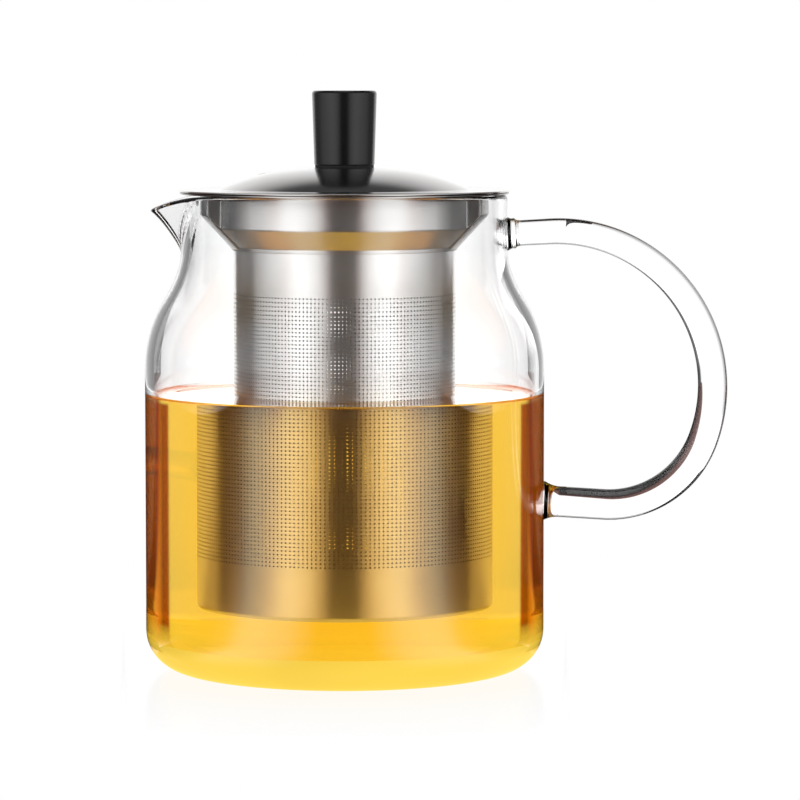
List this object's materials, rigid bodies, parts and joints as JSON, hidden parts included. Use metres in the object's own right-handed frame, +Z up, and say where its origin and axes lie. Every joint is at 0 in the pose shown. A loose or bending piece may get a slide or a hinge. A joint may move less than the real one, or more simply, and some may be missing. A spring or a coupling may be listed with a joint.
{
  "type": "glass teapot with infuser",
  "caption": "Clear glass teapot with a rod handle and pouring lip, a perforated steel infuser that lifts out, and a domed steel lid with a tapered black knob.",
  "frame": {"origin": "on the pot's vertical axis, in the plane that it stands on", "axes": "+Z up, +X towards the handle, -X towards the pouring lip"},
  "size_m": [0.1581, 0.1084, 0.1571],
  "materials": {
    "glass": "clear polished borosilicate",
    "infuser_steel": "fine satin",
    "lid_steel": "fine satin, spun",
    "knob_plastic": "satin black",
    "gasket_rubber": "matt",
    "fastener_steel": "plain stainless",
    "insert_brass": "turned",
    "tea": "clear amber liquid"
  },
  "bodies": {
    "pot": {"pot_body": "glass", "pot_handle": "glass"},
    "infuser": {"infuser_collar": "infuser_steel", "infuser_tube": "infuser_steel", "infuser_bottom": "infuser_steel"},
    "lid": {"lid_shell": "lid_steel", "lid_ring": "lid_steel", "knob_grip": "knob_plastic", "knob_gasket": "gasket_rubber", "knob_insert": "insert_brass", "knob_screw": "fastener_steel", "screw_washer": "fastener_steel"}
  },
  "joints": [
    {"name": "infuser_lift", "type": "slide", "parent": "pot", "child": "infuser", "axis": [0, 0, 1], "range_m": [0, 0.13]},
    {"name": "lid_lift", "type": "slide", "parent": "infuser", "child": "lid", "axis": [0, 0, 1], "range_m": [0, 0.04]}
  ]
}
